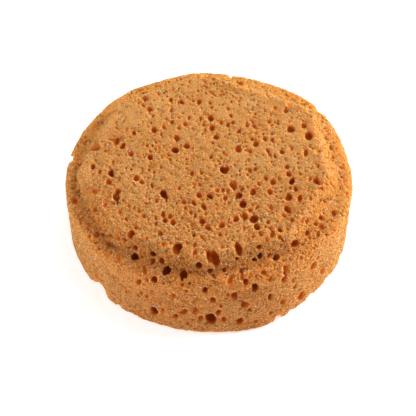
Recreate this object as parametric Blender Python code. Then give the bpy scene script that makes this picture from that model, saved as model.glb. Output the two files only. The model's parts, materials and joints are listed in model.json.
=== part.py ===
"""Round bath sponge, cut flat underneath and trimmed by hand on top.

One solid: a trimmed top face, a step down to a ledge, a rounded shoulder, a straight wall and a flat base,
with the larger pores open in it. Metres, +Z up, origin in the middle of the flat base.
"""

import math
import random

import bmesh
import bpy
from mathutils import Euler, Vector
from mathutils.bvhtree import BVHTree

MM = 0.001

SPONGE_NAME = "sea_sponge"
BODY_NAME = "sponge_body"

# Driving sizes
BODY_RADIUS = 50.0 * MM
TOP_HEIGHT = 32.7 * MM
TOP_RADIUS = 42.3 * MM
TOP_EDGE_ROUNDING = 1.6 * MM
STEP_FOOT_RADIUS = 45.3 * MM
STEP_FOOT_HEIGHT = 28.1 * MM
LEDGE_RADIUS = 48.3 * MM
LEDGE_HEIGHT = 27.3 * MM
SHOULDER_DROP = 1.6 * MM
BASE_ROUNDING = 1.0 * MM
TURN_STEPS = 60
MERGE_GAP = 0.001 * MM

# The hand-cut wall's slow and quick waves: lobes round the sponge, height, and turn in radians
WALL_WAVES = (
    (2, 0.22 * MM, 1.0),
    (3, 0.16 * MM, -0.6),
    (7, 0.11 * MM, -2.0),
    (11, 0.07 * MM, 0.0),
)

# Corners that the trimming left on the top face: degrees round from +X, and distance from the middle
TOP_CORNERS = (
    (32, 43.9 * MM),
    (92, 43.3 * MM),
    (142, 42.6 * MM),
    (187, 45.4 * MM),
    (227, 44.6 * MM),
    (267, 44.2 * MM),
    (308, 43.3 * MM),
    (350, 41.8 * MM),
)
# The top's outline is reached at this share of the step's rise from the ledge
TRIMMED_RISE = 0.62
# The step is cut deepest at the front left, and runs out into a slope at the front right
DEEPEST_STEP = math.radians(228)
STEP_DEEPENING = 0.9 * MM

# Where the pores are seen from: in front, 50 degrees up, in a square picture
SIGHT_TILT = math.radians(50)
SIGHT_DISTANCE = 400 * MM
SIGHT_HEIGHT = 6.5 * MM
PICTURE_MIDDLE = 208
PIXELS_PER_SLOPE = 1096

# Each pore's place across and down that picture, in pixels, and its width in millimetres
DEEP_PORES = (
    (175, 150, 2.6), (111, 172, 2.4), (163, 194, 3.0), (116, 197, 2.6), (292, 181, 2.8), (223, 170, 2.8),
    (239, 195, 2.3), (210, 196, 2.1), (130, 236, 2.3), (243, 204, 2.4), (254, 219, 2.6), (257, 227, 2.4),
    (238, 246, 2.4), (176, 251, 3.5), (214, 254, 3.4), (135, 257, 3.0), (153, 254, 2.1), (154, 279, 2.3),
    (184, 274, 2.3), (199, 266, 2.3), (260, 256, 2.4), (284, 279, 2.1), (255, 288, 2.6), (205, 290, 2.1),
    (211, 319, 3.5), (270, 297, 2.1), (154, 311, 3.1), (167, 270, 3.0),
)
OPEN_PORES = (
    (117, 141, 2.4), (123, 146, 2.4), (131, 154, 2.1), (134, 133, 2.1), (150, 109, 2.4), (182, 102, 2.3),
    (199, 102, 2.1), (154, 130, 2.3), (177, 138, 2.4), (187, 146, 2.4), (150, 157, 2.1), (93, 167, 2.4),
    (109, 182, 2.1), (136, 178, 2.1), (118, 191, 2.3), (93, 192, 2.1), (199, 195, 2.1), (240, 84, 2.1),
    (211, 118, 2.4), (212, 128, 2.4), (286, 111, 2.3), (291, 129, 3.0), (304, 126, 2.4), (309, 136, 2.8),
    (256, 144, 2.4), (216, 137, 2.4), (238, 149, 2.3), (211, 157, 2.1), (282, 152, 2.1), (306, 152, 2.1),
    (287, 167, 2.1), (296, 189, 2.1), (316, 181, 2.4), (233, 185, 2.4), (253, 192, 2.4), (270, 192, 2.1),
    (289, 197, 2.4), (300, 198, 2.1), (163, 214, 2.1), (173, 222, 2.3), (204, 207, 2.4), (202, 221, 2.4),
    (208, 228, 2.3), (160, 234, 2.1), (163, 245, 2.1), (245, 216, 2.4), (236, 219, 2.3), (272, 234, 2.1),
    (280, 230, 2.1), (288, 209, 2.6), (222, 225, 2.3), (135, 248, 2.4), (162, 261, 2.4), (109, 256, 2.1),
    (97, 235, 2.1), (75, 201, 2.1), (210, 271, 2.1), (224, 270, 2.1), (232, 285, 2.4), (246, 282, 2.3),
    (276, 258, 2.8), (264, 273, 2.1), (295, 244, 2.8), (307, 233, 2.1), (286, 271, 2.4), (313, 266, 2.3),
    (235, 296, 2.4), (213, 300, 2.4), (219, 312, 2.4), (240, 321, 2.8), (283, 302, 2.3), (301, 296, 2.8),
    (176, 316, 2.1), (185, 312, 2.4),
)

# Pores on the sides that the picture doesn't show
PORE_SEED = 7
HIDDEN_WIDTHS = (2.0, 2.9)
HIDDEN_GAP = 6.5 * MM
HIDDEN_AZIMUTHS = (math.radians(-12), math.radians(192))
HIDDEN_WALL_HEIGHTS = (3 * MM, 24 * MM)
BASE_AREA_SHARES = (0.03, 0.88)
OUTSIDE = 100 * MM
WALL_PORES = 38
LEDGE_PORES = 10
BASE_PORES = 24
CLEAR_BASE_RADIUS = 7.0 * MM

# How far under the surface a pore's middle lies, as a share of its width
OPEN_SINK = 0.14
DEEP_SINK = 0.34
# Pores this wide are made of more facets, and coarser balls are made larger to keep the mouth's width
ROUND_PORE_WIDTH = 2.8 * MM
FACET_ALLOWANCE = {1: 1.12, 2: 1.03}

SPONGE_COLOUR = (0.546, 0.227, 0.067, 1.0)
SPONGE_ROUGHNESS = 0.95
SHARP_EDGE = math.radians(50)


def trimmed_top_radius(azimuth):
    """Distance from the middle to the straight-sided edge that the trimming left, at this azimuth."""
    corners = [(math.radians(degrees), radius) for degrees, radius in TOP_CORNERS]
    corners.append((corners[0][0] + math.tau, corners[0][1]))
    turned = corners[0][0] + (azimuth - corners[0][0]) % math.tau
    for (start, near), (end, far) in zip(corners, corners[1:]):
        if turned <= end:
            break
    across = near * math.sin(turned - start) + far * math.sin(end - turned)
    return near * far * math.sin(end - start) / across


def wall_wave(azimuth):
    """How far the hand-cut wall stands in or out of a true circle."""
    return sum(height * math.cos(lobes * azimuth - turn) for lobes, height, turn in WALL_WAVES)


def shaped(point):
    """Moves a point of the turned form to where the trimming left it."""
    radius = math.hypot(point.x, point.y)
    azimuth = math.atan2(point.y, point.x)
    height = point.z
    rise = (height - LEDGE_HEIGHT) / (TOP_HEIGHT - LEDGE_HEIGHT)
    top_share = min(1.0, max(0.0, rise / TRIMMED_RISE))
    trim = trimmed_top_radius(azimuth) / TOP_RADIUS
    wave = 1 + wall_wave(azimuth) / BODY_RADIUS
    radius *= top_share * trim + (1 - top_share) * wave
    if rise > 0:
        near_foot = 1 - abs(height - STEP_FOOT_HEIGHT) / (TOP_HEIGHT - STEP_FOOT_HEIGHT)
        towards_deepest = (1 + math.cos(azimuth - DEEPEST_STEP)) / 2
        height -= STEP_DEEPENING * near_foot * towards_deepest
    return Vector((radius * math.cos(azimuth), radius * math.sin(azimuth), height))


def outline():
    """Radius and height of each ring, from the middle of the top to the middle of the base."""
    rounding = TOP_EDGE_ROUNDING
    return (
        (0.0, TOP_HEIGHT),
        (0.55 * TOP_RADIUS, TOP_HEIGHT),
        (TOP_RADIUS - rounding, TOP_HEIGHT),
        (TOP_RADIUS - 0.3 * rounding, TOP_HEIGHT - 0.3 * rounding),
        (TOP_RADIUS + 0.2 * rounding, TOP_HEIGHT - rounding),
        (STEP_FOOT_RADIUS - rounding, STEP_FOOT_HEIGHT + 0.8 * rounding),
        (STEP_FOOT_RADIUS, STEP_FOOT_HEIGHT),
        (LEDGE_RADIUS, LEDGE_HEIGHT),
        (BODY_RADIUS - 0.2 * SHOULDER_DROP, LEDGE_HEIGHT - 0.7 * SHOULDER_DROP),
        (BODY_RADIUS, LEDGE_HEIGHT - 2 * SHOULDER_DROP),
        (BODY_RADIUS, BASE_ROUNDING),
        (BODY_RADIUS - BASE_ROUNDING, 0.0),
        (0.0, 0.0),
    )


def make_form():
    """The sponge's outer form, with no pores yet."""
    form = bmesh.new()
    rings = [form.verts.new((radius, 0, height)) for radius, height in outline()]
    profile = [form.edges.new(pair) for pair in zip(rings, rings[1:])]
    bmesh.ops.spin(
        form, geom=rings + profile, cent=(0, 0, 0), axis=(0, 0, 1),
        angle=math.tau, steps=TURN_STEPS, use_merge=True,
    )
    bmesh.ops.remove_doubles(form, verts=form.verts, dist=MERGE_GAP)
    for vertex in form.verts:
        vertex.co = shaped(vertex.co)
    spread = [[vertex.co[axis] for vertex in form.verts] for axis in (0, 1)]
    off_middle = Vector([(min(places) + max(places)) / 2 for places in spread] + [0.0])
    bmesh.ops.translate(form, verts=form.verts, vec=-off_middle)
    bmesh.ops.recalc_face_normals(form, faces=form.faces)
    return form


def seen_point(form_tree, across, down):
    """Where the line of sight through a place in the picture meets the sponge, and the way out from there."""
    back = Vector((0, -math.cos(SIGHT_TILT), math.sin(SIGHT_TILT)))
    upward = Vector((0, math.sin(SIGHT_TILT), math.cos(SIGHT_TILT)))
    eye = Vector((0, 0, SIGHT_HEIGHT)) + SIGHT_DISTANCE * back
    slope_across = (across - PICTURE_MIDDLE) / PIXELS_PER_SLOPE
    slope_down = (down - PICTURE_MIDDLE) / PIXELS_PER_SLOPE
    direction = Vector((slope_across, 0, 0)) - back - slope_down * upward
    place, outward, _, _ = form_tree.ray_cast(eye, direction)
    if place is None:
        raise ValueError(f"the pore at {across}, {down} misses the sponge")
    return place, outward


def line_to(side, draw):
    """A start outside the sponge, and a direction, that meet the named side at a drawn place."""
    azimuth = draw.uniform(*HIDDEN_AZIMUTHS)
    if side == "wall":
        height = draw.uniform(*HIDDEN_WALL_HEIGHTS)
        away = Vector((math.cos(azimuth), math.sin(azimuth), 0))
        return OUTSIDE * away + Vector((0, 0, height)), -away
    if side == "ledge":
        radius = draw.uniform(STEP_FOOT_RADIUS, LEDGE_RADIUS)
        return Vector((radius * math.cos(azimuth), radius * math.sin(azimuth), OUTSIDE)), Vector((0, 0, -1))
    azimuth = draw.uniform(0, math.tau)
    radius = BODY_RADIUS * math.sqrt(draw.uniform(*BASE_AREA_SHARES))
    return Vector((radius * math.cos(azimuth), radius * math.sin(azimuth), -OUTSIDE)), Vector((0, 0, 1))


def hidden_spots(form_tree, draw):
    """Places for pores on the back of the wall, the back of the ledge and the base, well apart."""
    spots = []
    for side, count in (("wall", WALL_PORES), ("ledge", LEDGE_PORES), ("base", BASE_PORES)):
        found = 0
        while found < count:
            place, outward, _, _ = form_tree.ray_cast(*line_to(side, draw))
            near_middle = side == "base" and Vector(place[:2]).length < CLEAR_BASE_RADIUS
            if near_middle or any((place - other).length < HIDDEN_GAP for other, _ in spots):
                continue
            spots.append((place, outward))
            found += 1
    return spots


def make_pore(collection, number, place, outward, width, sink, draw):
    """One round pore as a cutter, its middle sunk under the surface so that the mouth has this width."""
    depth = sink * width
    detail = 2 if width >= ROUND_PORE_WIDTH else 1
    radius = math.hypot(width / 2, depth) * FACET_ALLOWANCE[detail]
    ball = bmesh.new()
    bmesh.ops.create_icosphere(ball, subdivisions=detail, radius=radius)
    turn = Euler([draw.uniform(0, math.tau) for _ in range(3)]).to_matrix()
    bmesh.ops.rotate(ball, verts=ball.verts, cent=(0, 0, 0), matrix=turn)
    bmesh.ops.translate(ball, verts=ball.verts, vec=place - depth * outward)
    name = f"pore_{number:03d}"
    mesh = bpy.data.meshes.new(name)
    ball.to_mesh(mesh)
    ball.free()
    cutter = bpy.data.objects.new(name, mesh)
    cutter.hide_render = True
    cutter.display_type = "WIRE"
    collection.objects.link(cutter)


def make_pores(collection, form):
    form_tree = BVHTree.FromBMesh(form)
    draw = random.Random(PORE_SEED)
    pores = []
    for seen, sink in ((DEEP_PORES, DEEP_SINK), (OPEN_PORES, OPEN_SINK)):
        for across, down, width in seen:
            pores.append((*seen_point(form_tree, across, down), width * MM, sink))
    for place, outward in hidden_spots(form_tree, draw):
        pores.append((place, outward, draw.uniform(*HIDDEN_WIDTHS) * MM, draw.choice((OPEN_SINK, DEEP_SINK))))
    for number, pore in enumerate(pores, start=1):
        make_pore(collection, number, *pore, draw)


def sponge_material():
    material = bpy.data.materials.new("sponge_tan")
    material.use_nodes = True
    shader = material.node_tree.nodes["Principled BSDF"]
    shader.inputs["Base Color"].default_value = SPONGE_COLOUR
    shader.inputs["Roughness"].default_value = SPONGE_ROUGHNESS
    shader.inputs["Metallic"].default_value = 0.0
    material.diffuse_color = SPONGE_COLOUR
    return material


def new_collection(name):
    collection = bpy.data.collections.new(name)
    bpy.context.scene.collection.children.link(collection)
    return collection


def main():
    for leftover in list(bpy.data.objects):
        bpy.data.objects.remove(leftover, do_unlink=True)
    parts = new_collection(SPONGE_NAME)
    cutters = new_collection("pore_cutters")
    cutters.hide_render = True

    form = make_form()
    make_pores(cutters, form)
    mesh = bpy.data.meshes.new(BODY_NAME)
    form.to_mesh(mesh)
    form.free()
    mesh.materials.append(sponge_material())
    mesh.shade_smooth()
    mesh.set_sharp_from_angle(angle=SHARP_EDGE)
    sponge = bpy.data.objects.new(BODY_NAME, mesh)
    parts.objects.link(sponge)

    pores = sponge.modifiers.new("pores", "BOOLEAN")
    pores.operation = "DIFFERENCE"
    pores.solver = "EXACT"
    pores.operand_type = "COLLECTION"
    pores.collection = cutters


main()
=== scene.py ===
"""Round bath sponge cut from a sea sponge: pored body, raised grain, and the pale studio that it lies in."""

import json
import math
import random

import bmesh
import bpy
import numpy as np
from bpy.props import FloatProperty, FloatVectorProperty, IntProperty, PointerProperty
from mathutils import Matrix, Vector
from mathutils.bvhtree import BVHTree

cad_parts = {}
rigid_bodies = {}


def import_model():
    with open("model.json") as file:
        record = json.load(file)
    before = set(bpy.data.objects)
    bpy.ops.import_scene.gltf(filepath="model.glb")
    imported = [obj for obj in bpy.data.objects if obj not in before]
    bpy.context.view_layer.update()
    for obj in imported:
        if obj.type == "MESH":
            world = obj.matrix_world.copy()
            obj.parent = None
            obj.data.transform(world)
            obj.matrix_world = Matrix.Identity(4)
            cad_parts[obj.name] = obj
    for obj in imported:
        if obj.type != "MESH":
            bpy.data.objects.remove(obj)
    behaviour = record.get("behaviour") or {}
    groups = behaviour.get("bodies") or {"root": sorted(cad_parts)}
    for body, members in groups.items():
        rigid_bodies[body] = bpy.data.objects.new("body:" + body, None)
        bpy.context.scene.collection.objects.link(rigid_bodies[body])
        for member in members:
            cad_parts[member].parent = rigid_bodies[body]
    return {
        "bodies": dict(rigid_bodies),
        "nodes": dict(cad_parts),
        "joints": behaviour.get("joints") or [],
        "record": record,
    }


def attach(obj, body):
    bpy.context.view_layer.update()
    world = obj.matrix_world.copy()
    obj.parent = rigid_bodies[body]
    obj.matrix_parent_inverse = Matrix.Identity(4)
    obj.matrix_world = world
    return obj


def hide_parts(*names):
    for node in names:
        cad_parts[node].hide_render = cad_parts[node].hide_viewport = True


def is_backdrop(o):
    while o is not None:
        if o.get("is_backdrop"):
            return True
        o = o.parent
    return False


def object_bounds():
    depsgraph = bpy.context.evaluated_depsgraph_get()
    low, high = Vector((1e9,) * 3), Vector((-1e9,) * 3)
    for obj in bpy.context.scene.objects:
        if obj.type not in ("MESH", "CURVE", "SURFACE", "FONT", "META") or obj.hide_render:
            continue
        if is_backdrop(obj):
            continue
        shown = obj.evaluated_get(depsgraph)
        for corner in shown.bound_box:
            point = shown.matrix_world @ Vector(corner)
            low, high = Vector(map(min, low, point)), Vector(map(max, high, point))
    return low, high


bl_info = {
    "name": "Sea Sponge",
    "version": (1, 0, 0),
    "blender": (4, 5, 0),
    "location": "View3D > Sidebar > Sea Sponge",
    "description": "Makes a round, hand-trimmed sea sponge with open pores and a fine grain",
    "category": "Add Mesh",
}

MM = 0.001

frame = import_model()
CAD_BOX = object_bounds()

# Corners that the trimming left on the top face: degrees round from +X, and distance from the middle
TOP_CORNERS = (
    (32, 43.9 * MM),
    (92, 43.3 * MM),
    (142, 42.6 * MM),
    (187, 45.4 * MM),
    (227, 44.6 * MM),
    (267, 44.2 * MM),
    (308, 43.3 * MM),
    (350, 41.8 * MM),
)
# The hand-cut wall's slow and quick waves: lobes round the sponge, height, and turn in radians
WALL_WAVES = (
    (2, 0.22 * MM, 1.0),
    (3, 0.16 * MM, -0.6),
    (7, 0.11 * MM, -2.0),
    (11, 0.07 * MM, 0.0),
)
# Where the wall swells: degrees round from +X, spread in degrees, and how far at the ledge and at the base
SWELLINGS = (
    (44, 20, 1.7 * MM, 0.8 * MM),
    (92, 12, 0.9 * MM, 0.2 * MM),
    (125, 12, 0.6 * MM, 0.2 * MM),
    (290, 22, 0.2 * MM, 1.7 * MM),
    (338, 18, 0.6 * MM, 0.6 * MM),
)

# Where the pores are seen from: in front, 50 degrees up, in a square picture
SIGHT_TILT = math.radians(50)
SIGHT_DISTANCE = 400 * MM
SIGHT_AIM = Vector((-0.1 * MM, 0, 6.5 * MM))
PICTURE_WIDTH = 416
PIXELS_PER_SLOPE = 1096

# The way to the side where the wall is painted darker as shade, since the least light falls there, a little left of
# the front
FRONT_SIDE = (math.cos(math.radians(262)), math.sin(math.radians(262)), 0.0)

# Each pore's place across and down that picture, in pixels, and its width in millimetres
DEEP_PORES = (
    (175, 150, 2.6), (111, 172, 2.4), (163, 194, 3.0), (116, 197, 2.6), (292, 181, 2.8), (223, 170, 2.8),
    (239, 195, 2.3), (210, 196, 2.1), (130, 236, 2.3), (243, 204, 2.4), (254, 219, 2.6), (257, 227, 2.4),
    (238, 246, 2.4), (176, 251, 3.5), (214, 254, 3.4), (135, 257, 3.0), (153, 254, 2.1), (154, 279, 2.3),
    (184, 274, 2.3), (199, 266, 2.3), (260, 256, 2.4), (284, 279, 2.1), (255, 288, 2.6), (205, 290, 2.1),
    (211, 319, 3.5), (270, 297, 2.1), (154, 311, 3.1), (167, 270, 3.0), (165, 220, 1.7), (194, 235, 1.7),
    (255, 260, 1.7), (248, 304, 1.4),
)
OPEN_PORES = (
    (117, 141, 2.4), (123, 146, 2.4), (131, 154, 2.1), (134, 133, 2.1), (150, 109, 2.4), (182, 102, 2.3),
    (199, 102, 2.1), (154, 130, 2.3), (177, 138, 2.4), (187, 146, 2.4), (150, 157, 2.1), (93, 167, 2.4),
    (109, 182, 2.1), (136, 178, 2.1), (118, 191, 2.3), (93, 192, 2.1), (199, 195, 2.1), (240, 84, 2.1),
    (211, 118, 2.4), (212, 128, 2.4), (286, 111, 2.3), (291, 129, 3.0), (304, 126, 2.4), (309, 136, 2.8),
    (256, 144, 2.4), (216, 137, 2.4), (238, 149, 2.3), (211, 157, 2.1), (282, 152, 2.1), (306, 152, 2.1),
    (287, 167, 2.1), (296, 189, 2.1), (316, 181, 2.4), (233, 185, 2.4), (253, 192, 2.4), (270, 192, 2.1),
    (289, 197, 2.4), (300, 198, 2.1), (163, 214, 2.1), (173, 222, 2.3), (204, 207, 2.4), (202, 221, 2.4),
    (208, 228, 2.3), (160, 234, 2.1), (163, 245, 2.1), (245, 216, 2.4), (236, 219, 2.3), (272, 234, 2.1),
    (280, 230, 2.1), (288, 209, 2.6), (222, 225, 2.3), (135, 248, 2.4), (162, 261, 2.4), (97, 235, 2.1),
    (75, 201, 2.1), (210, 271, 2.1), (224, 270, 2.1), (246, 282, 2.3), (276, 258, 2.8), (264, 273, 2.1),
    (295, 244, 2.8), (307, 233, 2.1), (286, 271, 2.4), (313, 266, 2.3), (235, 296, 2.4), (213, 300, 2.4),
    (219, 312, 2.4), (240, 321, 2.8), (283, 302, 2.3), (301, 296, 2.8), (176, 316, 2.1), (185, 312, 2.4),
    (289, 174, 2.3), (153, 261, 2.1), (216, 261, 2.4), (259, 247, 2.1), (322, 271, 2.1), (244, 304, 2.4),
    (224, 319, 2.1), (230, 279, 2.1),
)
FINE_PORES = (
    (143, 105, 1.7), (171, 100, 1.9), (171, 110, 1.6), (153, 116, 1.4), (151, 123, 1.4), (164, 127, 1.7),
    (172, 122, 1.7), (179, 128, 1.7), (189, 118, 1.6), (185, 124, 1.7), (198, 91, 1.4), (188, 87, 1.2),
    (194, 131, 1.2), (147, 146, 1.4), (150, 151, 1.4), (169, 155, 1.4), (170, 160, 1.4), (161, 135, 1.4),
    (100, 172, 1.7), (113, 162, 1.4), (142, 182, 1.9), (149, 170, 1.4), (154, 172, 1.4), (152, 185, 1.7),
    (161, 167, 1.4), (192, 173, 1.9), (201, 173, 1.7), (186, 164, 1.2), (179, 188, 1.7), (194, 186, 1.4),
    (200, 185, 1.6), (213, 79, 1.4), (248, 87, 1.4), (224, 94, 1.2), (239, 101, 1.2), (231, 102, 1.4),
    (210, 103, 1.7), (228, 109, 1.6), (231, 116, 1.7), (221, 123, 1.7), (228, 125, 1.7), (233, 123, 1.7),
    (247, 125, 1.6), (254, 126, 1.7), (239, 131, 1.9), (256, 133, 1.2), (252, 110, 1.4), (255, 114, 1.4),
    (275, 108, 1.4), (269, 122, 1.7), (278, 123, 1.4), (265, 139, 1.9), (272, 134, 1.6), (272, 140, 1.7),
    (252, 139, 1.7), (250, 151, 1.9), (224, 153, 1.4), (268, 151, 1.7), (270, 155, 1.7), (275, 156, 1.7),
    (292, 148, 1.4), (310, 146, 1.4), (290, 188, 1.4), (310, 179, 1.7), (250, 170, 1.6), (256, 169, 1.4),
    (266, 178, 1.7), (273, 182, 1.9), (279, 179, 1.4), (259, 184, 1.7), (242, 189, 1.7), (217, 190, 1.7),
    (223, 190, 1.7), (225, 198, 1.6), (297, 154, 1.0), (282, 188, 1.0), (300, 174, 1.4), (331, 148, 1.7),
    (333, 157, 1.4), (332, 160, 1.4), (318, 166, 1.4), (326, 138, 1.7), (322, 189, 1.4), (105, 205, 1.6),
    (113, 203, 1.6), (129, 206, 1.4), (134, 208, 1.4), (139, 211, 1.6), (120, 212, 1.4), (144, 216, 1.4),
    (126, 219, 1.6), (157, 201, 1.6), (166, 201, 1.4), (170, 216, 1.9), (156, 218, 1.6), (156, 224, 1.6),
    (184, 202, 1.9), (194, 203, 1.9), (185, 208, 1.4), (206, 214, 1.4), (191, 213, 1.4), (195, 216, 1.6),
    (192, 225, 1.4), (136, 228, 1.7), (140, 230, 1.0), (147, 238, 1.4), (202, 237, 1.7), (205, 240, 1.4),
    (187, 243, 1.4), (195, 245, 1.7), (195, 252, 1.9), (257, 207, 1.6), (250, 210, 1.7), (268, 222, 1.6),
    (261, 234, 1.6), (270, 229, 1.4), (288, 229, 1.4), (284, 215, 1.7), (292, 220, 1.7), (271, 208, 1.7),
    (244, 228, 1.4), (220, 234, 1.7), (280, 238, 1.7), (283, 241, 1.4), (267, 239, 1.6), (222, 247, 1.4),
    (307, 222, 1.6), (171, 263, 1.0), (119, 258, 1.7), (118, 239, 1.7), (125, 240, 1.7), (109, 245, 1.7),
    (103, 235, 1.7), (89, 237, 1.6), (111, 236, 1.7), (87, 229, 1.6), (99, 248, 1.7), (89, 210, 1.4),
    (95, 210, 1.6), (145, 269, 1.9), (139, 282, 1.9), (147, 280, 1.7), (181, 279, 1.7), (190, 272, 1.4),
    (237, 259, 1.7), (214, 276, 1.6), (241, 271, 1.6), (242, 276, 1.7), (269, 255, 1.7), (318, 234, 1.9),
    (321, 218, 1.9), (316, 224, 1.7), (322, 227, 1.6), (325, 201, 1.7), (334, 213, 1.7), (271, 279, 1.7),
    (301, 258, 1.4), (228, 295, 1.4), (250, 310, 1.7), (221, 306, 1.4), (201, 318, 1.9), (256, 321, 1.7),
    (270, 313, 1.7), (293, 280, 1.7), (294, 287, 1.7), (163, 310, 1.7), (196, 311, 1.9), (188, 323, 1.4),
    (174, 296, 1.7), (185, 302, 1.0), (147, 296, 1.6), (142, 293, 1.4), (97, 276, 1.7),
)
PALE_PORES = ((289, 103, 2.4), (318, 151, 2.4), (232, 285, 2.4), (109, 256, 2.1))
# Bites out of the base's rim: degrees round from +X, and width in millimetres
RIM_BITES = (
    (220, 5.2), (226, 2.0), (232, 2.4), (241, 1.8), (298, 3.2), (304, 2.4), (309, 2.0), (315, 3.0), (326, 2.4),
    (62, 2.4), (141, 3.0),
)


def length(name, description, default):
    """A length that a user can change."""
    return FloatProperty(name=name, description=description, default=default, unit="LENGTH", precision=5)


def share(name, description, default, highest=1.0):
    """A share or strength that a user can change."""
    return FloatProperty(name=name, description=description, default=default, min=0.0, max=highest)


def colour(name, description, default):
    """A colour that a user can change."""
    return FloatVectorProperty(
        name=name, description=description, default=default, size=3, subtype="COLOR", min=0.0, max=1.0
    )


class SpongeForm(bpy.types.PropertyGroup):
    """Sizes of the trimmed sponge."""

    body_radius: length("Body Radius", "From the middle to the wall", 50.0 * MM)
    top_height: length("Top Height", "Height of the trimmed top face", 32.7 * MM)
    top_radius: length("Top Radius", "From the middle to the top's edge", 42.3 * MM)
    top_rounding: length("Top Rounding", "Roundness of the top's edge", 0.9 * MM)
    ridge: length("Ridge", "How far the top's edge is raised", 0.50 * MM)
    foot_radius: length("Foot Radius", "From the middle to the foot of the step", 45.3 * MM)
    foot_height: length("Foot Height", "Height of the foot of the step", 28.1 * MM)
    ledge_radius: length("Ledge Radius", "From the middle to the ledge's outer half", 48.3 * MM)
    ledge_height: length("Ledge Height", "Height of the ledge", 27.3 * MM)
    shoulder_drop: length("Shoulder Drop", "How far the ledge rounds over into the wall", 1.6 * MM)
    base_rounding: length("Base Rounding", "Roundness of the base's rim", 1.0 * MM)
    step_deepening: length("Step Deepening", "How much deeper the step is at the front left", 1.5 * MM)
    deepest_step: FloatProperty(
        name="Deepest Step", description="Where the step is deepest", default=math.radians(228), unit="ROTATION"
    )
    trimmed_rise: share("Trimmed Rise", "Share of the step's rise at which the outline is trimmed", 0.62)


class SpongePores(bpy.types.PropertyGroup):
    """Numbers and depths of the pores."""

    seed: IntProperty(name="Seed", description="Draw of the scattered pores", default=7, min=0)
    spacing: length("Pore Spacing", "Mean spacing of the wide pores on the sides that aren't listed", 4.7 * MM)
    widest: length("Widest Pore", "Widest scattered pore", 2.7 * MM)
    narrowest: length("Narrowest Pore", "Narrowest scattered pore", 1.1 * MM)
    pin_spacing: length("Pinhole Spacing", "Mean spacing of the pinholes", 2.0 * MM)
    pin_width: length("Pinhole Width", "Width of the widest pinhole", 1.15 * MM)
    open_sink: share("Open Sink", "Depth of an open pore's middle, as a share of its width", 0.25)
    deep_sink: share("Deep Sink", "Depth of a deep pore's middle, as a share of its width", 0.52)
    pale_sink: share("Pale Sink", "Depth of a shallow pore's middle, as a share of its width", 0.0)
    unevenness: share("Unevenness", "How far a pore's three widths differ", 0.14)
    lean: share("Lean", "How far a pore leans, in radians", 0.22)
    wall_share: share("Wall Pinholes", "Share of the pinholes that the wall keeps", 0.45)
    longest: share("Longest", "Longest pore, as a share of its width", 1.8, 3.0)
    tallness: share("Tallness", "How tall the pores look; at 1 they look round", 1.25, 3.0)
    doubled: share("Doubled Pores", "Share of the pores that run into a smaller neighbour", 0.28)


class SpongeGrain(bpy.types.PropertyGroup):
    """The raised grain and the cut ends of the fibres."""

    spacing: length("Tuft Spacing", "Mean spacing of the tufts", 0.70 * MM)
    height: length("Tuft Height", "Height of a middling tuft", 0.36 * MM)
    width: length("Tuft Width", "Width of a middling tuft's foot", 0.36 * MM)
    fibre_spacing: length("Fibre Spacing", "Mean spacing of the cut fibres", 0.70 * MM)
    fibre_height: length("Fibre Height", "Height of a middling fibre", 0.60 * MM)
    fibre_width: length("Fibre Width", "Width of a middling fibre's foot", 0.22 * MM)


class SpongeColours(bpy.types.PropertyGroup):
    """Colours of the dry sponge, with the shade and glints that are painted on it."""

    surface: colour("Surface", "Cut surface between the pores", (0.60, 0.28, 0.074))
    light: colour("Light Grain", "Palest grain", (0.73, 0.43, 0.165))
    dark: colour("Dark Grain", "Darkest grain", (0.43, 0.145, 0.028))
    grit: colour("Grit", "Dark grit towards the front", (0.28, 0.080, 0.020))
    pale: colour("Pale Grain", "Palest grain towards the front", (0.95, 0.62, 0.27))
    # Painted highlight: the few pale specks on the grain tufts stand for glints of light
    glint_speck: colour("Speck", "The few glinting specks", (0.95, 0.84, 0.74))
    # Painted shade: a deeper, redder orange for the shaded step and ledge round the top
    ledge: colour("Ledge", "Step and ledge round the trimmed top", (1.0, 0.40, 0.064))
    # Painted shade: everything below the trimmed top is tinted warmer and darker than the lit top
    wall: colour("Wall Tint", "Tint of everything below the trimmed top", (1.0, 0.97, 0.92))
    # Painted shade: the wall's front, which gets the least light, is tinted darker
    front: colour("Front Tint", "Tint of the wall's front", (0.92, 0.81, 0.84))
    # Painted shade in the pores: orange-brown on their walls, darkest at the bottom of the deep ones
    shallow: colour("Shallow Pore", "Wall of a shallow pore", (0.84, 0.32, 0.058))
    deep: colour("Deep Pore", "Bottom of a deep pore", (0.54, 0.125, 0.016))
    roughness: share("Roughness", "Dryness of the sponge fibre", 0.85)
    glow: share("Glow", "How much light passes through the fibre", 0.65)
    glow_reach: length("Glow Reach", "How far light passes through the fibre", 4.0 * MM)


class SpongeStudio(bpy.types.PropertyGroup):
    """Lights and floor."""

    floor: colour("Floor", "Colour of the floor", (0.93, 0.93, 0.93))
    floor_glow: share("Floor Glow", "How much the floor itself shines", 0.56)
    surround: share("Surround", "Strength of the white surround", 0.33, 5.0)
    key: FloatProperty(name="Key Light", description="Power of the light behind", default=2.9, unit="POWER")
    right: FloatProperty(name="Right Light", description="Power of the right light", default=8.2, unit="POWER")
    left: FloatProperty(name="Left Light", description="Power of the left light", default=3.1, unit="POWER")


def settings():
    return bpy.context.scene.sea_sponge


class SeaSponge(bpy.types.PropertyGroup):
    """Everything that a user can change about the sponge."""

    form: PointerProperty(type=SpongeForm)
    pores: PointerProperty(type=SpongePores)
    grain: PointerProperty(type=SpongeGrain)
    colours: PointerProperty(type=SpongeColours)
    studio: PointerProperty(type=SpongeStudio)


# The trimmed form


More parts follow.
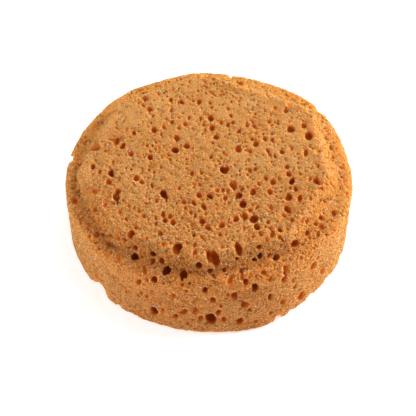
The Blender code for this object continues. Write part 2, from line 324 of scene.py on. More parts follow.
def trimmed_top_radius(azimuth):
    """Distance from the middle to the straight-sided edge that the trimming left, at this azimuth."""
    corners = [(math.radians(degrees), radius) for degrees, radius in TOP_CORNERS]
    corners.append((corners[0][0] + math.tau, corners[0][1]))
    turned = corners[0][0] + (azimuth - corners[0][0]) % math.tau
    for (start, near), (end, far) in zip(corners, corners[1:]):
        if turned <= end:
            break
    across = near * math.sin(turned - start) + far * math.sin(end - turned)
    return near * far * math.sin(end - start) / across


def wall_wave(azimuth):
    """How far the hand-cut wall stands in or out of a true circle."""
    return sum(height * math.cos(lobes * azimuth - turn) for lobes, height, turn in WALL_WAVES)


def swelling(azimuth, rise):
    """How far the wall swells here; the rise goes from 0 at the base to 1 at the ledge."""
    total = 0.0
    for degrees, spread, at_ledge, at_base in SWELLINGS:
        off = (azimuth - math.radians(degrees) + math.pi) % math.tau - math.pi
        total += (at_base + (at_ledge - at_base) * rise) * math.exp(-(off / math.radians(spread)) ** 2)
    return total


def shaped(point, form):
    """Moves a point of the turned form to where the trimming left it."""
    radius = math.hypot(point.x, point.y)
    azimuth = math.atan2(point.y, point.x)
    height = point.z
    rise = (height - form.ledge_height) / (form.top_height - form.ledge_height)
    top_share = min(1.0, max(0.0, rise / form.trimmed_rise))
    trim = trimmed_top_radius(azimuth) / form.top_radius
    wave = 1 + wall_wave(azimuth) / form.body_radius
    swell = 1 + swelling(azimuth, min(1.0, height / form.ledge_height)) / form.body_radius
    radius *= (top_share * trim + (1 - top_share) * wave) * swell
    if rise > 0:
        near_foot = 1 - abs(height - form.foot_height) / (form.top_height - form.foot_height)
        towards_deepest = (1 + math.cos(azimuth - form.deepest_step)) / 2
        height -= form.step_deepening * near_foot * towards_deepest
    return Vector((radius * math.cos(azimuth), radius * math.sin(azimuth), height))


def outline(form):
    """Radius and height of each ring, from the middle of the top to the middle of the base."""
    rounding = form.top_rounding
    return (
        (0.0, form.top_height),
        (0.55 * form.top_radius, form.top_height),
        (form.top_radius - 4 * rounding, form.top_height),
        (form.top_radius - rounding, form.top_height + form.ridge),
        (form.top_radius - 0.3 * rounding, form.top_height - 0.3 * rounding),
        (form.top_radius + 0.2 * rounding, form.top_height - rounding),
        (form.foot_radius - rounding, form.foot_height + 0.8 * rounding),
        (form.foot_radius, form.foot_height),
        (form.ledge_radius, form.ledge_height),
        (form.body_radius - 0.2 * form.shoulder_drop, form.ledge_height - 0.7 * form.shoulder_drop),
        (form.body_radius, form.ledge_height - 2 * form.shoulder_drop),
        (form.body_radius, form.base_rounding),
        (form.body_radius - form.base_rounding, 0.0),
        (0.0, 0.0),
    )


TURN_STEPS = 180
MERGE_GAP = 0.001 * MM


def make_form(form):
    """The sponge's outer form, with no pores yet."""
    shape = bmesh.new()
    rings = [shape.verts.new((radius, 0, height)) for radius, height in outline(form)]
    profile = [shape.edges.new(pair) for pair in zip(rings, rings[1:])]
    bmesh.ops.spin(
        shape, geom=rings + profile, cent=(0, 0, 0), axis=(0, 0, 1),
        angle=math.tau, steps=TURN_STEPS, use_merge=True,
    )
    bmesh.ops.remove_doubles(shape, verts=shape.verts, dist=MERGE_GAP)
    for vertex in shape.verts:
        vertex.co = shaped(vertex.co, form)
    bmesh.ops.recalc_face_normals(shape, faces=shape.faces)
    bmesh.ops.triangulate(shape, faces=shape.faces)
    return shape


# Places of the pores


def eye():
    """Where the pores are seen from."""
    back = Vector((0, -math.cos(SIGHT_TILT), math.sin(SIGHT_TILT)))
    return SIGHT_AIM + SIGHT_DISTANCE * back


def sight_upward():
    """The way up in the picture."""
    return Vector((0, math.sin(SIGHT_TILT), math.cos(SIGHT_TILT)))


def seen_point(form_tree, across, down):
    """Where the line of sight through a place in the picture meets the sponge, and the way out from there."""
    forward = (SIGHT_AIM - eye()).normalized()
    slope_across = (across - PICTURE_WIDTH / 2) / PIXELS_PER_SLOPE
    slope_down = (down - PICTURE_WIDTH / 2) / PIXELS_PER_SLOPE
    direction = Vector((slope_across, 0, 0)) + forward - slope_down * sight_upward()
    place, outward, _, _ = form_tree.ray_cast(eye(), direction)
    if place is None:
        raise ValueError(f"the pore at {across}, {down} misses the sponge")
    return place, outward


def is_seen(form_tree, place, outward):
    """Whether this place shows in the picture."""
    towards = (eye() - place).normalized()
    if outward.dot(towards) < 0.12:
        return False
    return form_tree.ray_cast(place + 0.05 * MM * outward, towards)[0] is None


class Scatter:
    """Draws places all over the form, each clear of the pores that are already there."""

    def __init__(self, shape, form_tree, seed):
        self.draw = random.Random(seed)
        self.form_tree = form_tree
        self.faces = list(shape.faces)
        self.weights = [face.calc_area() for face in self.faces]
        self.area = sum(self.weights)
        self.taken = np.empty((0, 4))

    def take(self, place, width):
        self.taken = np.vstack((self.taken, (*place, width)))

    def free(self, place, width, overlap):
        if not len(self.taken):
            return True
        gaps = np.linalg.norm(self.taken[:, :3] - np.array(place), axis=1)
        return bool((gaps > overlap * (self.taken[:, 3] + width) / 2).all())

    def place(self):
        face = self.draw.choices(self.faces, self.weights)[0]
        first, second, third = (vertex.co for vertex in face.verts)
        along, across = self.draw.random(), self.draw.random()
        if along + across > 1:
            along, across = 1 - along, 1 - across
        return first + along * (second - first) + across * (third - first), face.normal.copy()

    def spread(self, spacing, widths, overlap, wanted):
        """Places at about this spacing, with widths drawn from narrow to wide, where wanted says so."""
        found = []
        for _ in range(int(self.area / spacing ** 2)):
            place, outward = self.place()
            narrow, wide = widths
            width = narrow + (wide - narrow) * self.draw.random() ** 1.6
            if wanted(place, outward) and self.free(place, width, overlap):
                self.take(place, width)
                found.append((place, outward, width))
        return found


def listed_pores(form_tree, pores):
    """Middle and radius of each pore that is listed by its place in the picture."""
    for listed, sink in (
        (DEEP_PORES, pores.deep_sink),
        (OPEN_PORES, pores.open_sink),
        (FINE_PORES, pores.open_sink),
        (PALE_PORES, pores.pale_sink),
    ):
        for across, down, millimetres in listed:
            place, outward = seen_point(form_tree, across, down)
            yield place, outward, millimetres * MM, sink


def rim_bites(form_tree, form):
    """Where the base's rim is torn."""
    for degrees, millimetres in RIM_BITES:
        outward = Vector((math.cos(math.radians(degrees)), math.sin(math.radians(degrees)), 0))
        width = millimetres * MM
        outside = 2 * form.body_radius * outward + Vector((0, 0, 0.2 * width))
        yield form_tree.ray_cast(outside, -outward)[0], outward, width, 0.05


def upright(outward):
    """The way along the surface that looks upright in the picture, where the pores are as tall as they are wide."""
    rise = Vector((1, 0, 0)).cross(outward)
    if rise.length < 0.2:
        return Vector((0, 0, 1))
    if rise.dot(sight_upward()) < 0:
        rise.negate()
    return rise.normalized()


class Hollow:
    """An uneven ball that hollows out a pore."""

    def __init__(self, place, outward, width, sink, tallness, draw, pores):
        rise = upright(outward)
        side = rise.cross(outward)
        uneven = [1 + draw.uniform(-pores.unevenness, pores.unevenness) for _ in range(3)]
        sunk = sink * width
        reach = sunk + 0.45 * width
        radius = 0.5 * width / math.sqrt(1 - (sunk / reach) ** 2)
        self.middle = place - sunk * outward
        self.radii = Vector((
            radius * uneven[0] * min(pores.longest, 1 / max(0.3, abs(side.x))),
            radius * uneven[1] * min(pores.longest, 1 / max(0.3, rise.dot(sight_upward())) ** tallness),
            reach * uneven[2],
        ))
        frame = Matrix((side, rise, outward)).transposed()
        lean = pores.lean * (1.0 if outward.z > 0.5 else 0.5)
        twist = Matrix.Rotation(draw.uniform(-2 * lean, 2 * lean), 3, "Z")
        tilt_back = Matrix.Rotation(draw.uniform(-lean, lean), 3, "X")
        tilt_aside = Matrix.Rotation(draw.uniform(-lean, lean), 3, "Y")
        self.turn = (frame @ tilt_back @ tilt_aside @ twist).to_euler()
        self.kind = 0 if width > 1.9 * MM else 1


def all_hollows(shape, form, pores):
    """The hollows of every pore, listed and scattered."""
    form_tree = BVHTree.FromBMesh(shape)
    scatter = Scatter(shape, form_tree, pores.seed)
    draw = scatter.draw
    found = []
    for place, outward, width, sink in (*listed_pores(form_tree, pores), *rim_bites(form_tree, form)):
        scatter.take(place, width)
        found.append((place, outward, width, sink, pores.tallness))

    def out_of_sight(place, outward):
        near_rim = place.z < 2.5 * MM and math.hypot(place.x, place.y) > form.body_radius - 2.5 * MM
        return not near_rim and not is_seen(form_tree, place, outward)

    def few_on_wall(place, outward):
        return abs(outward.z) > 0.5 or draw.random() < pores.wall_share

    wide = scatter.spread(pores.spacing, (pores.narrowest, pores.widest), 0.9, out_of_sight)
    pins = scatter.spread(pores.pin_spacing, (0.6 * pores.pin_width, pores.pin_width), 1.0, few_on_wall)
    for places, tallness in ((wide, pores.tallness), (pins, 0.4 * pores.tallness)):
        for place, outward, width in places:
            sink = draw.choice((pores.open_sink, pores.open_sink, pores.deep_sink))
            found.append((place, outward, width, sink, tallness))

    for place, outward, width, sink, tallness in found:
        yield Hollow(place, outward, width, sink, tallness, draw, pores)
        if draw.random() < pores.doubled:
            aside = Vector([draw.gauss(0, 1) for _ in range(3)])
            aside = (aside - aside.dot(outward) * outward).normalized()
            smaller = draw.uniform(0.5, 0.8) * width
            beside = place + draw.uniform(0.35, 0.55) * width * aside
            yield Hollow(beside, outward, smaller, sink, tallness, draw, pores)


# Geometry node groups


class Tree:
    """A node group under construction: makes nodes, sets their values and links them."""

    def __init__(self, tree):
        self.tree = tree

    def node(self, kind, values=None, **options):
        node = self.tree.nodes.new(kind)
        for name, value in options.items():
            setattr(node, name, value)
        for key, value in (values or {}).items():
            if isinstance(value, bpy.types.NodeSocket):
                self.tree.links.new(value, node.inputs[key])
            else:
                node.inputs[key].default_value = value
        return node


def new_geometry_group(name, inputs=()):
    group = bpy.data.node_groups.new(name, "GeometryNodeTree")
    group.interface.new_socket("Geometry", in_out="INPUT", socket_type="NodeSocketGeometry")
    for title, socket_type in inputs:
        group.interface.new_socket(title, in_out="INPUT", socket_type=socket_type)
    group.interface.new_socket("Geometry", in_out="OUTPUT", socket_type="NodeSocketGeometry")
    return group, Tree(group)


def pore_ball_group():
    """Turns each point into a ball with the point's own three radii and turn."""
    group, tree = new_geometry_group("pore_balls")
    start = tree.node("NodeGroupInput")
    fine = tree.node("GeometryNodeMeshIcoSphere", {"Radius": 1.0, "Subdivisions": 3})
    coarse = tree.node("GeometryNodeMeshIcoSphere", {"Radius": 1.0, "Subdivisions": 2})
    kinds = tree.node("GeometryNodeGeometryToInstance")
    for ball in (coarse, fine):
        tree.tree.links.new(ball.outputs["Mesh"], kinds.inputs[0])
    kind = tree.node("GeometryNodeInputNamedAttribute", {"Name": "kind"}, data_type="INT")
    radii = tree.node("GeometryNodeInputNamedAttribute", {"Name": "radii"}, data_type="FLOAT_VECTOR")
    turn = tree.node("GeometryNodeInputNamedAttribute", {"Name": "turn"}, data_type="FLOAT_VECTOR")
    balls = tree.node(
        "GeometryNodeInstanceOnPoints",
        {
            "Points": start.outputs["Geometry"],
            "Instance": kinds.outputs["Instances"],
            "Pick Instance": True,
            "Instance Index": kind.outputs["Attribute"],
            "Rotation": turn.outputs["Attribute"],
            "Scale": radii.outputs["Attribute"],
        },
    )
    real = tree.node("GeometryNodeRealizeInstances", {"Geometry": balls.outputs["Instances"]})
    tree.node("NodeGroupOutput", {"Geometry": real.outputs["Geometry"]})
    return group


# The surface's unevenness: size across and height
LUMPS = ((9.0 * MM, 0.30 * MM), (3.0 * MM, 0.34 * MM), (0.9 * MM, 0.20 * MM))


def uneven_surface_group():
    """Moves the surface in and out by noise of several sizes, and keeps the base flat."""
    group, tree = new_geometry_group("uneven_surface")
    start = tree.node("NodeGroupInput")
    offset = None
    for number, (across, height) in enumerate(LUMPS):
        noise = tree.node("ShaderNodeTexNoise", {"Scale": 1 / across, "Detail": 1.0}, noise_dimensions="3D")
        lump = tree.node(
            "ShaderNodeMath", {0: noise.outputs[0], 1: 0.5}, operation="SUBTRACT"
        )
        lump = tree.node("ShaderNodeMath", {0: lump.outputs[0], 1: 2 * height}, operation="MULTIPLY")
        if offset:
            lump = tree.node("ShaderNodeMath", {0: lump.outputs[0], 1: offset.outputs[0]}, operation="ADD")
        offset = lump
    normal = tree.node("GeometryNodeInputNormal")
    move = tree.node(
        "ShaderNodeVectorMath", {0: normal.outputs["Normal"], "Scale": offset.outputs[0]}, operation="SCALE"
    )
    moved = tree.node(
        "GeometryNodeSetPosition", {"Geometry": start.outputs["Geometry"], "Offset": move.outputs["Vector"]}
    )
    place = tree.node("GeometryNodeInputPosition")
    above_floor = tree.node(
        "ShaderNodeVectorMath", {0: place.outputs["Position"], 1: (-1.0, -1.0, 0.0)}, operation="MAXIMUM"
    )
    floored = tree.node(
        "GeometryNodeSetPosition",
        {"Geometry": moved.outputs["Geometry"], "Position": above_floor.outputs["Vector"]},
    )
    tree.node("NodeGroupOutput", {"Geometry": floored.outputs["Geometry"]})
    return group


def pore_depth_group():
    """Stores how far each point lies from the pore-free form, for the painted shade down in the pores and the
    thinner grain there.
    """
    group, tree = new_geometry_group("pore_depth", [("Form", "NodeSocketObject")])
    start = tree.node("NodeGroupInput")
    form = tree.node("GeometryNodeObjectInfo", {"Object": start.outputs["Form"]})
    gap = tree.node(
        "GeometryNodeProximity", {0: form.outputs["Geometry"]}, target_element="FACES"
    )
    store = tree.node(
        "GeometryNodeStoreNamedAttribute",
        {"Geometry": start.outputs["Geometry"], "Name": "depth", "Value": gap.outputs["Distance"]},
        data_type="FLOAT", domain="POINT",
    )
    tree.node("NodeGroupOutput", {"Geometry": store.outputs["Geometry"]})
    return group


def grain_group(spacing, height_of_tuft, width, seed):
    """Scatters small pointed tufts over the surface, thickest where it isn't hollowed."""
    group, tree = new_geometry_group("grain_tufts")
    start = tree.node("NodeGroupInput")
    depth = tree.node("GeometryNodeInputNamedAttribute", {"Name": "depth"}, data_type="FLOAT")
    place = tree.node("GeometryNodeInputPosition")
    height = tree.node("ShaderNodeSeparateXYZ", {0: place.outputs["Position"]})
    near_surface = tree.node(
        "ShaderNodeMapRange",
        {0: depth.outputs["Attribute"], 1: 0.15 * MM, 2: 0.7 * MM, 3: 1.0, 4: 0.12},
    )
    on_ledge = tree.node(
        "ShaderNodeMath", {0: height.outputs["Z"], 1: 28.5 * MM, 2: 3.0 * MM}, operation="COMPARE"
    )
    number = tree.node(
        "ShaderNodeMapRange", {0: on_ledge.outputs[0], 1: 0.0, 2: 1.0, 3: spacing ** -2, 4: 2 * spacing ** -2}
    )
    density = tree.node(
        "ShaderNodeMath", {0: near_surface.outputs[0], 1: number.outputs[0]}, operation="MULTIPLY"
    )
    points = tree.node(
        "GeometryNodeDistributePointsOnFaces",
        {"Mesh": start.outputs["Geometry"], "Density": density.outputs[0], "Seed": seed},
        distribute_method="RANDOM",
    )
    too_low = tree.node(
        "ShaderNodeMath", {0: height.outputs["Z"], 1: 2.0 * height_of_tuft}, operation="LESS_THAN"
    )
    clear_of_base = tree.node(
        "GeometryNodeDeleteGeometry",
        {"Geometry": points.outputs["Points"], "Selection": too_low.outputs[0]}, domain="POINT",
    )
    clear_points = clear_of_base.outputs["Geometry"]
    tuft = tree.node(
        "GeometryNodeMeshCone",
        {"Vertices": 3, "Radius Bottom": width / 2, "Depth": height_of_tuft},
        fill_type="NGON",
    )
    sunk = tree.node(
        "GeometryNodeTransform", {"Geometry": tuft.outputs["Mesh"], "Translation": (0, 0, -0.3 * height_of_tuft)}
    )
    size = tree.node(
        "FunctionNodeRandomValue",
        {"Min": (0.5, 0.5, 0.4), "Max": (1.3, 1.3, 1.4), "Seed": seed + 1}, data_type="FLOAT_VECTOR",
    )
    lean = tree.node(
        "FunctionNodeRandomValue",
        {"Min": (-0.6, -0.6, 0.0), "Max": (0.6, 0.6, math.tau), "Seed": seed + 2}, data_type="FLOAT_VECTOR",
    )
    turned = tree.node(
        "FunctionNodeRotateRotation",
        {"Rotation": points.outputs["Rotation"], "Rotate By": lean.outputs["Value"]},
        rotation_space="LOCAL",
    )
    tone = tree.node("FunctionNodeRandomValue", {"Seed": seed + 3}, data_type="FLOAT")
    toned = tree.node(
        "GeometryNodeStoreNamedAttribute",
        {"Geometry": clear_points, "Name": "tone", "Value": tone.outputs[1]},
        data_type="FLOAT", domain="POINT",
    )
    # Painted highlight: the tufts that carry the glinting specks are made larger
    glint_speck = tree.node("ShaderNodeMapRange", {0: tone.outputs[1], 1: 0.985, 2: 0.986, 3: 1.0, 4: 1.6})
    sized = tree.node(
        "ShaderNodeVectorMath", {0: size.outputs["Value"], "Scale": glint_speck.outputs[0]}, operation="SCALE"
    )
    tufts = tree.node(
        "GeometryNodeInstanceOnPoints",
        {
            "Points": toned.outputs["Geometry"],
            "Instance": sunk.outputs["Geometry"],
            "Rotation": turned.outputs["Rotation"],
            "Scale": sized.outputs["Vector"],
        },
    )
    real = tree.node("GeometryNodeRealizeInstances", {"Geometry": tufts.outputs["Instances"]})
    tree.node("NodeGroupOutput", {"Geometry": real.outputs["Geometry"]})
    return group


# Objects


def new_object(name, mesh):
    piece = bpy.data.objects.new(name, mesh)
    bpy.context.scene.collection.objects.link(piece)
    return piece


def from_bmesh(name, shape):
    mesh = bpy.data.meshes.new(name)
    shape.to_mesh(mesh)
    shape.free()
    return new_object(name, mesh)


def settle(piece):
    """Applies every modifier of a piece."""
    graph = bpy.context.evaluated_depsgraph_get()
    mesh = bpy.data.meshes.new_from_object(
        piece.evaluated_get(graph), preserve_all_data_layers=True, depsgraph=graph
    )
    piece.modifiers.clear()
    old = piece.data
    piece.data = mesh
    bpy.data.meshes.remove(old)
    mesh.name = piece.name


def remesh(piece, voxel):
    modifier = piece.modifiers.new("remesh", "REMESH")
    modifier.mode = "VOXEL"
    modifier.voxel_size = voxel


def apply_group(piece, group, values=None):
    modifier = piece.modifiers.new(group.name, "NODES")
    modifier.node_group = group
    for socket in group.interface.items_tree:
        if socket.in_out == "INPUT" and socket.name in (values or {}):
            modifier[socket.identifier] = values[socket.name]
    settle(piece)


def dress(piece, material):
    """Gives the whole piece one material."""
    piece.data.materials.clear()
    piece.data.materials.append(material)
    for face in piece.data.polygons:
        face.material_index = 0


def remove(piece):
    mesh = piece.data
    bpy.data.objects.remove(piece)
    bpy.data.meshes.remove(mesh)


def make_pore_balls(hollows):
    """Balls that lie apart from each other, as one mesh."""
    points = bmesh.new()
    radii = points.verts.layers.float_vector.new("radii")
    turn = points.verts.layers.float_vector.new("turn")
    kind = points.verts.layers.int.new("kind")
    for hollow in hollows:
        point = points.verts.new(hollow.middle)
        point[radii] = hollow.radii
        point[turn] = hollow.turn
        point[kind] = hollow.kind
    balls = from_bmesh("pore_balls", points)
    apply_group(balls, pore_ball_group())
    return balls


def sorted_apart(hollows):
    """Sorts the hollows into batches, with no two in a batch touching; a hollow that fits in none is left out."""
    batches = [Batch() for _ in range(BATCHES)]
    for hollow in hollows:
        any(batch.takes(hollow) for batch in batches)
    return [batch.hollows for batch in batches]


class Batch:
    """Hollows that lie apart from each other."""

    def __init__(self):
        self.hollows = []
        self.spheres = np.empty((4000, 4))

    def takes(self, hollow):
        """Adds the hollow if it's clear of the rest."""
        reach = max(hollow.radii)
        count = len(self.hollows)
        there = self.spheres[:count]
        gaps = np.linalg.norm(there[:, :3] - np.array(hollow.middle), axis=1) - there[:, 3]
        if (gaps < 1.02 * reach).any():
            return False
        if count == len(self.spheres):
            self.spheres = np.vstack((self.spheres, np.empty_like(self.spheres)))
        self.spheres[count] = (*hollow.middle, reach)
        self.hollows.append(hollow)
        return True


# Sizes of the finished mesh
BATCHES = 4
BODY_VOXEL = 0.45 * MM
BODY_TRIANGLES = 199000


def thin_out(piece, triangles):
    """Brings a mesh down to a number of triangles, with the most left where it bends."""
    piece.data.calc_loop_triangles()
    modifier = piece.modifiers.new("thin_out", "DECIMATE")
    modifier.ratio = min(1.0, triangles / len(piece.data.loop_triangles))
    modifier.use_collapse_triangulate = True


def make_body():
    sponge = settings()
    shape = make_form(sponge.form)
    batches = sorted_apart(all_hollows(shape, sponge.form, sponge.pores))
    form = from_bmesh("sponge_form", shape)
    form.hide_render = True
    body = new_object("sea_sponge", form.data.copy())
    remesh(body, BODY_VOXEL)
    settle(body)
    for batch in batches:
        balls = make_pore_balls(batch)
        hollow = body.modifiers.new("pores", "BOOLEAN")
        hollow.operation = "DIFFERENCE"
        hollow.solver = "MANIFOLD"
        hollow.object = balls
        settle(body)
        remove(balls)
    apply_group(body, pore_depth_group(), {"Form": form})
    apply_group(body, uneven_surface_group())
    thin_out(body, BODY_TRIANGLES)
    settle(body)
    body.data.shade_smooth()
    remove(form)
    return body


# Materials


def mixed(tree, factor, first, second):
    """A colour between two others; the Mix node's colours are its seventh and eighth inputs."""
    node = tree.node("ShaderNodeMix", {0: factor, 6: first, 7: second}, data_type="RGBA")
    return node.outputs[2]


def tinted(tree, factor, surface, tint):
    """A colour multiplied by a tint, as far as the factor says."""
    node = tree.node(
        "ShaderNodeMix", {0: factor, 6: surface, 7: shade(tint)}, data_type="RGBA", blend_type="MULTIPLY"
    )
    return node.outputs[2]


def ramp(tree, value, low, high, first=0.0, last=1.0):
    """Goes from the first number to the last as the value goes from low to high."""
    return tree.node("ShaderNodeMapRange", {0: value, 1: low, 2: high, 3: first, 4: last}).outputs[0]


def product(tree, first, second):
    return tree.node("ShaderNodeMath", {0: first, 1: second}, operation="MULTIPLY").outputs[0]


def shade(value):
    """A colour as a socket takes it."""
    return (*value, 1.0)


def sponge_material(name, colours, grain=False):
    """Dry sponge fibre: grained tan with pinholes, and painted shade that turns it orange-brown down in the pores
    and pinholes, deeper orange on the step and ledge, warmer below the top and darker on the wall's front; the
    grain tufts carry a few painted glints.
    """
    material = bpy.data.materials.new(name)
    material.use_nodes = True
    tree = Tree(material.node_tree)
    links = material.node_tree.links
    shader = material.node_tree.nodes["Principled BSDF"]
    place = tree.node("ShaderNodeTexCoord").outputs["Object"]

    def noise(across, detail=2.0):
        return tree.node(
            "ShaderNodeTexNoise", {"Vector": place, "Scale": 1 / across, "Detail": detail, "Roughness": 0.6}
        ).outputs[0]

    def pinholes(across, widest):
        """Rounded pinholes: 0 between them and 1 at their middles, with some left out."""
        cells = tree.node("ShaderNodeTexVoronoi", {"Vector": place, "Scale": 1 / across, "Randomness": 1.0})
        kept = tree.node("ShaderNodeSeparateColor", {0: cells.outputs["Color"]}).outputs[0]
        size = ramp(tree, kept, 0.0, 1.0, 0.35 * widest, widest)
        near = tree.node("ShaderNodeMath", {0: cells.outputs["Distance"], 1: size}, operation="DIVIDE").outputs[0]
        return ramp(tree, near, 1.0, 0.45)

    fine = noise(0.42 * MM, 3.0)
    coarse = noise(1.6 * MM)
    patches = noise(13 * MM)
    height = tree.node("ShaderNodeSeparateXYZ", {0: place}).outputs["Z"]
    below_top = ramp(tree, height, 31.9 * MM, 30.6 * MM)
    on_ledge = product(tree, below_top, ramp(tree, height, 17.0 * MM, 27.5 * MM))
    # Painted shade: a deeper, redder orange on the step, the ledge and the upper wall below the top
    surface = mixed(tree, on_ledge, shade(colours.surface), shade(colours.ledge))
    surface = mixed(tree, ramp(tree, fine, 0.36, 0.56), shade(colours.dark), surface)
    surface = mixed(tree, ramp(tree, fine, 0.54, 0.68), surface, shade(colours.light))
    surface = mixed(tree, ramp(tree, coarse, 0.50, 0.30, 0.0, 0.55), surface, shade(colours.dark))
    surface = mixed(tree, ramp(tree, patches, 0.40, 0.65, 0.0, 0.30), surface, shade(colours.light))
    frontward = tree.node(
        "ShaderNodeVectorMath", {0: place, 1: FRONT_SIDE}, operation="DOT_PRODUCT"
    ).outputs["Value"]
    # Painted shade: the wall's front, which gets the least light, is tinted darker
    shaded_front = product(tree, below_top, ramp(tree, frontward, 12 * MM, 46 * MM))
    # Painted shade: everything below the trimmed top is tinted warmer and darker than the lit top
    surface = tinted(tree, below_top, surface, colours.wall)
    surface = tinted(tree, shaded_front, surface, colours.front)
    gritty = ramp(tree, frontward, -20 * MM, 25 * MM)
    grit = product(tree, gritty, ramp(tree, noise(0.7 * MM), 0.51, 0.42, 0.0, 0.75))
    surface = mixed(tree, grit, surface, shade(colours.grit))
    depth = tree.node("ShaderNodeAttribute", attribute_name="depth").outputs["Fac"]
    if grain:
        tone = tree.node("ShaderNodeAttribute", attribute_name="tone").outputs["Fac"]
        surface = mixed(tree, ramp(tree, tone, 0.0, 0.5, 0.8, 0.0), surface, shade(colours.dark))
        dark_tufts = product(tree, gritty, ramp(tree, tone, 0.40, 0.25))
        surface = mixed(tree, dark_tufts, surface, shade(colours.grit))
        surface = mixed(tree, ramp(tree, tone, 0.6, 0.97), surface, shade(colours.light))
        light_tufts = product(tree, gritty, ramp(tree, tone, 0.70, 0.80))
        surface = mixed(tree, light_tufts, surface, shade(colours.pale))
        # Painted highlight: a few pale glinting specks on the tufts
        surface = mixed(tree, ramp(tree, tone, 0.985, 0.99), surface, shade(colours.glint_speck))
        relief = noise(0.2 * MM)
    else:
        holes = pinholes(1.0 * MM, 0.55)
        more_holes = pinholes(0.65 * MM, 0.55)
        # Painted pinholes: the holes are real, but their orange-brown colour is painted shade inside them
        surface = mixed(tree, product(tree, more_holes, 0.55), surface, shade(colours.shallow))
        surface = mixed(tree, product(tree, holes, 0.9), surface, shade(colours.shallow))
        hollow = tree.node("ShaderNodeMath", {0: holes, 1: more_holes}, operation="MAXIMUM").outputs[0]
        relief = tree.node("ShaderNodeMath", {0: fine, 1: hollow}, operation="SUBTRACT").outputs[0]
    # Painted shade: orange-brown down in the pores, darkest deep in them
    surface = mixed(tree, ramp(tree, depth, 0.08 * MM, 0.40 * MM), surface, shade(colours.shallow))
    surface = mixed(tree, ramp(tree, depth, 0.6 * MM, 2.0 * MM), surface, shade(colours.deep))
    links.new(surface, shader.inputs["Base Color"])

    rough = ramp(tree, fine, 0.0, 1.0, colours.roughness - 0.12, min(1.0, colours.roughness + 0.12))
    links.new(rough, shader.inputs["Roughness"])
    bump = tree.node("ShaderNodeBump", {"Height": relief, "Distance": 0.14 * MM, "Strength": 0.7})
    links.new(bump.outputs["Normal"], shader.inputs["Normal"])
    shader.inputs["Specular IOR Level"].default_value = 0.08
    shader.inputs["Subsurface Weight"].default_value = colours.glow
    shader.inputs["Subsurface Radius"].default_value = (1.0, 0.55, 0.20)
    shader.inputs["Subsurface Scale"].default_value = colours.glow_reach * (0.1 if grain else 1.0)
    return material


def floor_material(studio):
    """Pale, slightly uneven matt floor that lights the sponge's foot."""
    material = bpy.data.materials.new("pale_floor")
    material.use_nodes = True
    tree = Tree(material.node_tree)
    shader = material.node_tree.nodes["Principled BSDF"]
    place = tree.node("ShaderNodeTexCoord").outputs["Object"]
    cloud = tree.node("ShaderNodeTexNoise", {"Vector": place, "Scale": 30.0}).outputs[0]
    material.node_tree.links.new(ramp(tree, cloud, 0.0, 1.0, 0.65, 0.75), shader.inputs["Roughness"])
    shader.inputs["Base Color"].default_value = shade(studio.floor)
    shader.inputs["Emission Color"].default_value = shade(studio.floor)
    shader.inputs["Emission Strength"].default_value = studio.floor_glow
    return material


# The stage


def aim(thing, place, target):
    thing.location = place
    thing.rotation_euler = (Vector(target) - Vector(place)).to_track_quat("-Z", "Y").to_euler()


def make_light(name, place, size, power, tint=(1.0, 1.0, 1.0)):
    light = bpy.data.lights.new(name, "AREA")
    light.shape = "DISK"
    light.size = size
    light.energy = power
    light.color = tint
    lamp = bpy.data.objects.new(name, light)
    bpy.context.scene.collection.objects.link(lamp)
    aim(lamp, place, (0, 0, 0.015))


def make_stage():
    studio = settings().studio
    ground = bmesh.new()
    bmesh.ops.create_grid(ground, x_segments=1, y_segments=1, size=3.0)
    floor = from_bmesh("floor", ground)
    floor.data.materials.append(floor_material(studio))
    floor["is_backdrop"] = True

    world = bpy.data.worlds.new("studio")
    bpy.context.scene.world = world
    world.use_nodes = True
    background = world.node_tree.nodes["Background"]
    background.inputs["Color"].default_value = (1, 1, 1, 1)
    background.inputs["Strength"].default_value = studio.surround

    make_light("key_light", (0.30, 0.22, 0.86), 0.6, studio.key)
    make_light("right_light", (0.72, 0.22, 0.40), 0.5, studio.right)
    make_light("left_light", (-0.72, -0.22, 0.36), 0.5, studio.left)

    camera = bpy.data.cameras.new("camera")
    camera.sensor_width = 36.0
    camera.lens = PIXELS_PER_SLOPE * camera.sensor_width / PICTURE_WIDTH
    camera.clip_start = 0.01
    viewer = bpy.data.objects.new("camera", camera)
    bpy.context.scene.collection.objects.link(viewer)
    aim(viewer, eye(), SIGHT_AIM)
    bpy.context.scene.camera = viewer
    bpy.context.scene.view_settings.view_transform = "Standard"


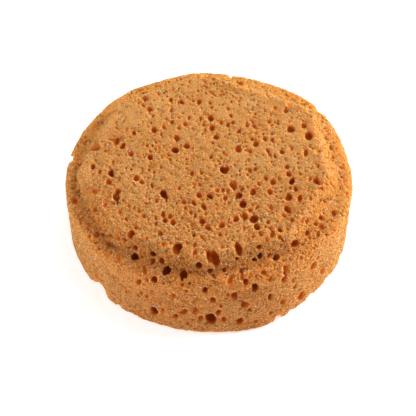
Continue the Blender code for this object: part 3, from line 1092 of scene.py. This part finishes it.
class SPONGE_OT_body(bpy.types.Operator):
    """Make the trimmed sponge with its pores."""

    bl_idname = "sponge.make_body"
    bl_label = "Sponge Body"

    def execute(self, context):
        body = make_body()
        dress(body, sponge_material("sponge_fibre", settings().colours))
        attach(body, "root")
        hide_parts("sponge_body")
        return {"FINISHED"}


class SPONGE_OT_grain(bpy.types.Operator):
    """Raise the fine grain on the sponge's surface."""

    bl_idname = "sponge.make_grain"
    bl_label = "Sponge Grain"

    def execute(self, context):
        body = bpy.data.objects["sea_sponge"]
        grain = settings().grain
        fibre = sponge_material("grain_fibre", settings().colours, grain=True)
        for name, spacing, height, width, seed in (
            ("sponge_grain", grain.spacing, grain.height, grain.width, 11),
            ("sponge_fibres", grain.fibre_spacing, grain.fibre_height, grain.fibre_width, 23),
        ):
            piece = new_object(name, body.data.copy())
            apply_group(piece, grain_group(spacing, height, width, seed))
            dress(piece, fibre)
            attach(piece, "root")
        return {"FINISHED"}


class SPONGE_OT_stage(bpy.types.Operator):
    """Set the floor, the lights and the camera."""

    bl_idname = "sponge.make_stage"
    bl_label = "Studio"

    def execute(self, context):
        make_stage()
        return {"FINISHED"}


class SPONGE_PT_panel(bpy.types.Panel):
    """Lists the sponge's pieces."""

    bl_idname = "SPONGE_PT_panel"
    bl_label = "Sea Sponge"
    bl_space_type = "VIEW_3D"
    bl_region_type = "UI"
    bl_category = "Sea Sponge"

    def draw(self, context):
        for operator in (SPONGE_OT_body, SPONGE_OT_grain, SPONGE_OT_stage):
            self.layout.operator(operator.bl_idname)


CLASSES = (
    SpongeForm, SpongePores, SpongeGrain, SpongeColours, SpongeStudio, SeaSponge,
    SPONGE_OT_body, SPONGE_OT_grain, SPONGE_OT_stage, SPONGE_PT_panel,
)


def register():
    for item in CLASSES:
        bpy.utils.register_class(item)
    bpy.types.Scene.sea_sponge = PointerProperty(type=SeaSponge)


def unregister():
    del bpy.types.Scene.sea_sponge
    for item in reversed(CLASSES):
        bpy.utils.unregister_class(item)


def write_sizes():
    boxes = {"cad": CAD_BOX, "visual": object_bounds()}
    {name: [list(corner) for corner in box] for name, box in boxes.items()}


def main():
    register()
    bpy.ops.sponge.make_stage()
    bpy.ops.sponge.make_body()
    bpy.ops.sponge.make_grain()
    write_sizes()


if __name__ == "__main__":
    main()
